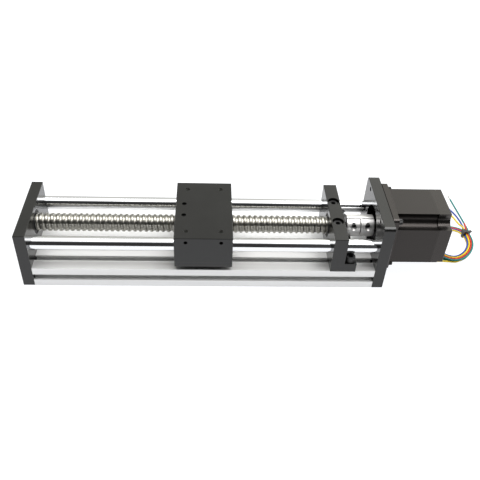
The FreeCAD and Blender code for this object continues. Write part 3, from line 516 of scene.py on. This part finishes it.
def ball_track_tree(material):
    """Bend a flat grid of lines into a helical ball track about the X axis.

    The grid's columns are the steps of one lead, from one groove bottom to the
    next, and its rows are the steps round the bar. Both ends are cut square.
    """
    tree = bpy.data.node_groups.new("ball_track", "GeometryNodeTree")
    for name, value in (("Start", 0.0), ("End", 0.25), ("Lead", track_lead),
                        ("Crest Radius", crest_radius), ("Depth", track_depth),
                        ("Half Width", track_half_width), ("Axis Height", 0.04)):
        input_socket(tree, name, "NodeSocketFloat", value)
    input_socket(tree, "Steps", "NodeSocketInt", track_steps)
    input_socket(tree, "Sides", "NodeSocketInt", track_sides)
    tree.interface.new_socket("Geometry", in_out="OUTPUT", socket_type="NodeSocketGeometry")
    given = tree.nodes.new("NodeGroupInput").outputs
    length = arithmetic(tree, "SUBTRACT", given["End"], given["Start"])
    turns = arithmetic(tree, "CEIL", arithmetic(tree, "DIVIDE", length, given["Lead"]))
    turns = arithmetic(tree, "ADD", turns, 2.0)
    columns = arithmetic(tree, "ADD", given["Steps"], 1.0)
    rows = arithmetic(tree, "ADD", arithmetic(tree, "MULTIPLY", turns, given["Sides"]), 1.0)
    grid = add(tree, "GeometryNodeMeshGrid", {"Size X": 1.0, "Size Y": 1.0,
                                              "Vertices X": columns, "Vertices Y": rows})
    number = add(tree, "GeometryNodeInputIndex").outputs[0]
    column = arithmetic(tree, "FLOOR", arithmetic(tree, "DIVIDE", number, rows))
    row = arithmetic(tree, "SUBTRACT", number, arithmetic(tree, "MULTIPLY", column, rows))
    share = arithmetic(tree, "DIVIDE", column, given["Steps"])
    turned = arithmetic(tree, "DIVIDE", row, given["Sides"])
    reach = arithmetic(tree, "MULTIPLY", arithmetic(tree, "ADD", share, turned), given["Lead"])
    along = arithmetic(tree, "SUBTRACT", arithmetic(tree, "ADD", given["Start"], reach),
                       given["Lead"])
    along = arithmetic(tree, "MINIMUM", arithmetic(tree, "MAXIMUM", along, given["Start"]),
                       given["End"])
    back = arithmetic(tree, "SUBTRACT", 1.0, share)
    from_bottom = arithmetic(tree, "MULTIPLY", arithmetic(tree, "MINIMUM", share, back),
                             given["Lead"])
    part = arithmetic(tree, "DIVIDE", from_bottom, given["Half Width"])
    inside = arithmetic(tree, "SUBTRACT", 1.0, arithmetic(tree, "MULTIPLY", part, part))
    round_cut = arithmetic(tree, "SQRT", arithmetic(tree, "MAXIMUM", inside, 0.0))
    radius = arithmetic(tree, "SUBTRACT", given["Crest Radius"],
                        arithmetic(tree, "MULTIPLY", round_cut, given["Depth"]))
    angle = arithmetic(tree, "MULTIPLY", turned, 2 * math.pi)
    y = arithmetic(tree, "MULTIPLY", radius, arithmetic(tree, "COSINE", angle))
    z = arithmetic(tree, "MULTIPLY", radius, arithmetic(tree, "SINE", angle))
    z = arithmetic(tree, "ADD", z, given["Axis Height"])
    spot = add(tree, "ShaderNodeCombineXYZ", {"X": along, "Y": y, "Z": z})
    bent = add(tree, "GeometryNodeSetPosition",
               {"Geometry": grid.outputs["Mesh"], "Position": spot.outputs[0]})
    whole = add(tree, "GeometryNodeMergeByDistance",
                {"Geometry": bent.outputs[0], "Distance": weld_distance})
    real = add(tree, "GeometryNodeRealizeInstances", {"Geometry": whole.outputs[0]})
    dressed = add(tree, "GeometryNodeSetMaterial", {"Geometry": real.outputs[0],
                                                    "Material": material})
    add(tree, "NodeGroupOutput", {"Geometry": dressed.outputs[0]})
    return tree


def grown(name, tree, values, points=()):
    """Run a tree on loose points and return the result as a plain mesh."""
    seed = bpy.data.meshes.new(name)
    seed.from_pydata([Vector(p) for p in points], [], [])
    maker = bpy.data.objects.new(name + "_maker", seed)
    bpy.context.scene.collection.objects.link(maker)
    modifier = maker.modifiers.new("shape", "NODES")
    modifier.node_group = tree
    for item in tree.interface.items_tree:
        if item.in_out == "INPUT" and item.name in values:
            modifier[item.identifier] = values[item.name]
    bpy.context.view_layer.update()
    ready = maker.evaluated_get(bpy.context.evaluated_depsgraph_get())
    mesh = bpy.data.meshes.new_from_object(ready)
    mesh.name = name
    bpy.data.objects.remove(maker)
    piece = bpy.data.objects.new(name, mesh)
    bpy.context.scene.collection.objects.link(piece)
    return piece


steel = rolled_steel()
screw_low, screw_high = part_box("ball_screw")
block_low, block_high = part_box("bearing_block")
base_low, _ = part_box("base_extrusion")
axis_height = (screw_low.z + screw_high.z) / 2
track_start = base_low.x + shoulder_length
track_end = block_low.x - shoulder_length
track = grown("ball_track", ball_track_tree(steel),
              {"Start": track_start, "End": track_end, "Axis Height": axis_height})
track.data.shade_smooth()
track.data.set_sharp_from_angle(angle=math.radians(38))
core_radius = crest_radius - track_depth
screw_outline = [
    (screw_low.x, journal_radius - journal_chamfer),
    (screw_low.x + journal_chamfer, journal_radius),
    (base_low.x, journal_radius), (base_low.x, shoulder_radius),
    (track_start - shoulder_seam, shoulder_radius), (track_start - shoulder_seam, core_radius),
    (track_end + shoulder_seam, core_radius), (track_end + shoulder_seam, shoulder_radius),
    (block_low.x, shoulder_radius), (block_low.x, journal_radius),
    (screw_high.x - journal_chamfer, journal_radius),
    (screw_high.x, journal_radius - journal_chamfer)]
journals = turned_bar("screw_journals", axis_height, 0.0, screw_outline, journal_sides,
                      steel)
for part in (track, journals):
    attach(part, "drive_screw")
    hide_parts("ball_screw")

# Coupling and lock nut. The coupling is turned from bright aluminium and slit;
# the lock nut is black oxide steel with four spanner notches.


def turned_aluminium():
    """Bright aluminium with fine tool rings round the X axis, 0.15 mm apart."""
    material, tree, shader = finish_of("turned_bright_aluminium")
    tooling = streaks_on(tree, (6600.0, 30.0, 30.0))
    shine_between(tree, shader, tooling, 0.42, 0.52)
    relief(tree, shader, tooling, 0.05, 0.00001)
    set_inputs(shader, Base_Color=colour("d9d8d6"), Metallic=1.0)
    return material


def black_oxide():
    """Blued steel: nearly black, with a low oily shine."""
    material, tree, shader = finish_of("black_oxide_steel")
    film = noise_on(tree, 700.0, 3.0)
    shine_between(tree, shader, film, 0.28, 0.44)
    tint_between(tree, shader, film, "0d0d0d", "161616")
    set_inputs(shader, IOR=1.5)
    return material


oxide = black_oxide()
dress("coupling", turned_aluminium())
dress("lock_nut", oxide)
for screws in ("left_plate_screws", "motor_plate_screws", "nut_lock_screws"):
    dress(screws, oxide)

# Cap screws. Black oxide socket screws with knurled heads: two down through the
# block's web, two in its foot, four that hold the motor and two across the
# coupling. The heads are bevelled at both ends, and the knurl stops short of that.
knurl_ridges = 36
knurled_reach = 0.4
bevel_share = 0.06
head_end, end_margin = 0.5, 0.02
shank_sides = 32


def cap_screw_tree(material):
    """Put a knurled socket screw on each point, all facing one way."""
    tree = bpy.data.node_groups.new("knurled_cap_screws", "GeometryNodeTree")
    tree.interface.new_socket("Geometry", in_out="INPUT", socket_type="NodeSocketGeometry")
    for name, value in (("Head Radius", 0.00425), ("Head Height", 0.005),
                        ("Shank Radius", 0.0025), ("Length", 0.014), ("Socket", 0.004),
                        ("Knurl Depth", 0.00012)):
        input_socket(tree, name, "NodeSocketFloat", value)
    input_socket(tree, "Ridges", "NodeSocketInt", knurl_ridges)
    input_socket(tree, "Turn", "NodeSocketVector", (0.0, 0.0, 0.0))
    tree.interface.new_socket("Geometry", in_out="OUTPUT", socket_type="NodeSocketGeometry")
    given = tree.nodes.new("NodeGroupInput").outputs
    sides = arithmetic(tree, "MULTIPLY", given["Ridges"], 2.0)
    head = add(tree, "GeometryNodeMeshCylinder",
               {"Vertices": sides, "Side Segments": 6, "Radius": given["Head Radius"],
                "Depth": given["Head Height"]})
    number = add(tree, "GeometryNodeInputIndex").outputs[0]
    odd = arithmetic(tree, "MODULO", number, 2.0)
    place = add(tree, "GeometryNodeInputPosition").outputs[0]
    apart = add(tree, "ShaderNodeSeparateXYZ", {"Vector": place})
    height = arithmetic(tree, "DIVIDE", apart.outputs["Z"], given["Head Height"])
    flank = arithmetic(tree, "COMPARE", arithmetic(tree, "ABSOLUTE", height), 0.0,
                       knurled_reach)
    cut = arithmetic(tree, "MULTIPLY", arithmetic(tree, "MULTIPLY", odd, flank),
                     given["Knurl Depth"])
    shrink = arithmetic(tree, "SUBTRACT", 1.0,
                        arithmetic(tree, "DIVIDE", cut, given["Head Radius"]))
    bevel = arithmetic(tree, "COMPARE", arithmetic(tree, "ABSOLUTE", height), head_end,
                       end_margin)
    shrink = arithmetic(tree, "SUBTRACT", shrink,
                        arithmetic(tree, "MULTIPLY", bevel, bevel_share))
    flat = add(tree, "ShaderNodeCombineXYZ",
               {"X": arithmetic(tree, "MULTIPLY", apart.outputs["X"], shrink),
                "Y": arithmetic(tree, "MULTIPLY", apart.outputs["Y"], shrink),
                "Z": arithmetic(tree, "ADD", apart.outputs["Z"],
                                arithmetic(tree, "DIVIDE", given["Head Height"], 2.0))})
    knurled = add(tree, "GeometryNodeSetPosition",
                  {"Geometry": head.outputs["Mesh"], "Position": flat.outputs[0]})
    across = arithmetic(tree, "DIVIDE", given["Socket"], math.sqrt(3))
    hexagon = add(tree, "GeometryNodeMeshCylinder",
                  {"Vertices": 6, "Radius": across, "Depth": given["Head Height"]})
    lift = add(tree, "ShaderNodeCombineXYZ", {"Z": given["Head Height"]})
    raised = add(tree, "GeometryNodeTransform",
                 {"Geometry": hexagon.outputs["Mesh"], "Translation": lift.outputs[0]})
    socketed = add(tree, "GeometryNodeMeshBoolean",
                   {0: knurled.outputs[0], 1: raised.outputs[0]}, operation="DIFFERENCE")
    shank = add(tree, "GeometryNodeMeshCylinder",
                {"Vertices": shank_sides, "Radius": given["Shank Radius"],
                 "Depth": given["Length"]})
    drop = add(tree, "ShaderNodeCombineXYZ",
               {"Z": arithmetic(tree, "DIVIDE", given["Length"], -2.0)})
    lowered = add(tree, "GeometryNodeTransform",
                  {"Geometry": shank.outputs["Mesh"], "Translation": drop.outputs[0]})
    screw = add(tree, "GeometryNodeJoinGeometry")
    tree.links.new(socketed.outputs["Mesh"], screw.inputs[0])
    tree.links.new(lowered.outputs[0], screw.inputs[0])
    placed = add(tree, "GeometryNodeInstanceOnPoints",
                 {"Points": given["Geometry"], "Instance": screw.outputs[0],
                  "Rotation": given["Turn"]})
    real = add(tree, "GeometryNodeRealizeInstances", {"Geometry": placed.outputs[0]})
    dressed = add(tree, "GeometryNodeSetMaterial", {"Geometry": real.outputs[0],
                                                    "Material": material})
    add(tree, "NodeGroupOutput", {"Geometry": dressed.outputs[0]})
    return tree


black_screws = cap_screw_tree(oxide)


def cap_screws(name, node, body, places, outward, sizes, length):
    """Knurled screws whose heads seat at the places, in metres."""
    shank, head, head_height, socket = sizes
    turn = Vector(outward).to_track_quat("Z", "Y").to_euler()
    screws = grown(name, black_screws,
                   {"Head Radius": head / 2, "Head Height": head_height,
                    "Shank Radius": shank / 2, "Length": length, "Socket": socket,
                    "Turn": tuple(turn)}, places)
    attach(screws, body)
    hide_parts(node)


# Shank, head, height of the head and width of its socket, in metres.
m2_5 = (0.0025, 0.0045, 0.0025, 0.002)
m4_low = (0.004, 0.0052, 0.0036, 0.002)
m5 = (0.005, 0.0085, 0.005, 0.004)

web_middle = block_low.x + 0.012 / 2
web_seat = block_high.z - 0.007
web_screw_y = 0.0145
cap_screws("block_web_screws", "block_top_screws", "base",
           [(web_middle, y, web_seat) for y in (-web_screw_y, web_screw_y)],
           (0, 0, 1), m5, 0.040)

foot_low, foot_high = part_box("block_foot_screws")
foot_middle = (foot_low.x + foot_high.x) / 2
foot_screw_y = 0.035
cap_screws("block_foot_cap_screws", "block_foot_screws", "base",
           [(foot_middle, y, foot_high.z - m5[2]) for y in (-foot_screw_y, foot_screw_y)],
           (0, 0, 1), m5, 0.014)

flange_rear = 0.165
motor_holes = 0.04714 / 2
cap_screws("motor_cap_screws", "motor_mount_screws", "base",
           [(flange_rear, y, axis_height + z)
            for y in (-motor_holes, motor_holes) for z in (-motor_holes, motor_holes)],
           (1, 0, 0), m4_low, 0.012)

# The coupling's two screws run across it above the bore, 15 degrees off the
# level, with their heads to the front.
coupling_low, coupling_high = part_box("coupling")
lean = math.radians(15)
outward = Vector((0, -math.cos(lean), -math.sin(lean)))
up = Vector((0, -math.sin(lean), math.cos(lean)))
off_axis = up * 0.0067 + outward * 0.0032
from_end = 0.0062
cap_screws("coupling_cross_screws", "coupling_screws", "drive_screw",
           [Vector((x, 0, axis_height)) + off_axis
            for x in (coupling_low.x + from_end, coupling_high.x - from_end)],
           outward, m2_5, 0.008)

# Bearings, ball nut, wipers and bushings. Ground steel rings. On the screw's three
# bearings, every face of the outer ring part that looks along the screw is black on
# both sides: the rubber of the seals and the ring's own steel end face alike. The nut
# is ground and closed by natural plastic wipers, and the rods run in sintered bronze.


def ground_steel():
    """Ground bearing steel: an even, fairly bright grey."""
    material, tree, shader = finish_of("ground_bearing_steel")
    shine_between(tree, shader, noise_on(tree, 1500.0, 2.0), 0.18, 0.30)
    set_inputs(shader, Base_Color=colour("c4c4c2"), Metallic=1.0)
    return material


def sintered_bronze():
    """Porous bronze: brown-gold, dull, with dark pores 0.3 mm apart."""
    material, tree, shader = finish_of("sintered_bronze")
    place = add(tree, "ShaderNodeTexCoord").outputs["Object"]
    pores = add(tree, "ShaderNodeTexVoronoi", {"Vector": place, "Scale": 3300.0})
    tint_between(tree, shader, pores.outputs["Distance"], "6f5325", "b08a4a")
    set_inputs(shader, Metallic=1.0, Roughness=0.42)
    return material


def moulded_plastic(name, code, roughness):
    """A moulded plastic with the faint texture of its mould."""
    material, tree, shader = finish_of(name)
    relief(tree, shader, noise_on(tree, 1200.0, 2.0), 0.1, 0.0001)
    set_inputs(shader, Base_Color=colour(code), Roughness=roughness, IOR=1.5)
    return material


ring_steel = ground_steel()
seal_and_ring_face_black = moulded_plastic("bearing_seal_and_ring_face_black", "121212", 0.6)
for bearing in ("end_bearing", "block_bearing_left", "block_bearing_right"):
    for ring in ("_outer_ring", "_inner_ring"):
        dress(bearing + ring, ring_steel)
    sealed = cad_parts[bearing + "_outer_ring"].data
    sealed.materials.append(seal_and_ring_face_black)
    # Every face along the axis turns black, both the seal and the outer ring's steel end face.
    for face in sealed.polygons:
        if abs(face.normal.x) > 0.9:
            face.material_index = 1
for bearing in ("motor_front_bearing", "motor_rear_bearing"):
    dress(bearing, ring_steel)
dress("ball_nut", ring_steel)
bronze = sintered_bronze()
natural_plastic = moulded_plastic("natural_acetal", "e4e1d6", 0.45)
for end in ("left", "right"):
    dress("nut_wiper_" + end, natural_plastic)
    for side in ("front", "rear"):
        dress("bushing_" + side + "_" + end, bronze)

# Motor. A stack of steel laminations between a die-cast flange and rear cap, all
# painted satin black, with a round notch along each corner of the stack and cap
# that gives room for the mounting screws; inside, the coils, rotor and shaft.
stack_notch_radius = 0.00715
cap_notch_radius = 0.0055
notch_sides = 72


def satin_paint(shader, roughness, index):
    """Black paint whose reflections are slightly warm."""
    set_inputs(shader, Base_Color=colour("0f0e0d"), Roughness=roughness, IOR=index,
               Specular_Tint=colour("fff4ee"))


def painted_casting():
    """Sprayed black paint with a slight orange peel 0.8 mm across."""
    material, tree, shader = finish_of("sprayed_black_casting")
    relief(tree, shader, noise_on(tree, 1200.0, 2.0), 0.12, 0.0001)
    satin_paint(shader, 0.26, 1.48)
    return material


def painted_laminations():
    """Black paint over the edges of thin sheets, which show every 2 mm or so."""
    material, tree, shader = finish_of("painted_laminations")
    sheets = bands_on(tree, "X", 1000 / 6.283, distortion=0.4, detail=1.0)
    peel = noise_on(tree, 900.0, 2.0)
    relief(tree, shader, arithmetic(tree, "ADD", sheets, peel), 0.10, 0.0001)
    satin_paint(shader, 0.30, 1.42)
    return material


def enamelled_copper():
    """Wound copper wire, 1 mm thick, under clear enamel."""
    material, tree, shader = finish_of("enamelled_copper_winding")
    relief(tree, shader, bands_on(tree, "X", 320.0), 1.0, 0.0003)
    set_inputs(shader, Base_Color=colour("b5653a"), Metallic=1.0, Roughness=0.30)
    return material


def notched_corners(name, node, radius, material):
    """The node with a round notch along each corner, about the screws' lines."""
    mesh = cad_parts[node].data.copy()
    low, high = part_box(node)
    shape = bmesh.new()
    shape.from_mesh(mesh)
    bmesh.ops.remove_doubles(shape, verts=shape.verts, dist=0.000001)
    shape.to_mesh(mesh)
    shape.free()
    body = bpy.data.objects.new(name + "_blank", mesh)
    cuts = bmesh.new()
    for y in (-motor_holes, motor_holes):
        for z in (-motor_holes, motor_holes):
            place = Matrix.Translation(((low.x + high.x) / 2, y, axis_height + z))
            turn = Matrix.Rotation(math.radians(90), 4, "Y")
            bmesh.ops.create_cone(cuts, cap_ends=True, segments=notch_sides, radius1=radius,
                                  radius2=radius, depth=(high.x - low.x) * 2,
                                  matrix=place @ turn)
    cutter_mesh = bpy.data.meshes.new(name + "_cutter")
    cuts.to_mesh(cutter_mesh)
    cuts.free()
    cutter = bpy.data.objects.new(name + "_cutter", cutter_mesh)
    for item in (body, cutter):
        bpy.context.scene.collection.objects.link(item)
    step = body.modifiers.new("notches", "BOOLEAN")
    step.operation = "DIFFERENCE"
    step.solver = "EXACT"
    step.object = cutter
    bpy.context.view_layer.update()
    ready = body.evaluated_get(bpy.context.evaluated_depsgraph_get())
    finished = bpy.data.meshes.new_from_object(ready)
    for item in (body, cutter):
        bpy.data.objects.remove(item)
    finished.materials.clear()
    finished.materials.append(material)
    finished.shade_smooth()
    finished.set_sharp_from_angle(angle=math.radians(30))
    piece = bpy.data.objects.new(name, finished)
    bpy.context.scene.collection.objects.link(piece)
    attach(piece, "base")
    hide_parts(node)


casting = painted_casting()
stack_paint = painted_laminations()
dress("motor_flange", casting)
notched_corners("lamination_stack", "motor_stator", stack_notch_radius, stack_paint)
notched_corners("notched_rear_cap", "motor_rear_cap", cap_notch_radius, casting)
dress("motor_rotor", stack_paint)
dress("motor_windings", enamelled_copper())
dress("motor_shaft", steel)
dress("motor_through_screws", oxide)

# Grommet and cable tie. A soft black rubber grommet lines the slot under the rear
# cap where the leads come out, and a black nylon tie holds their loop together.
dress("wire_grommet", moulded_plastic("moulded_rubber", "1b1b1b", 0.7))
dress("cable_tie", moulded_plastic("moulded_nylon", "161616", 0.35))
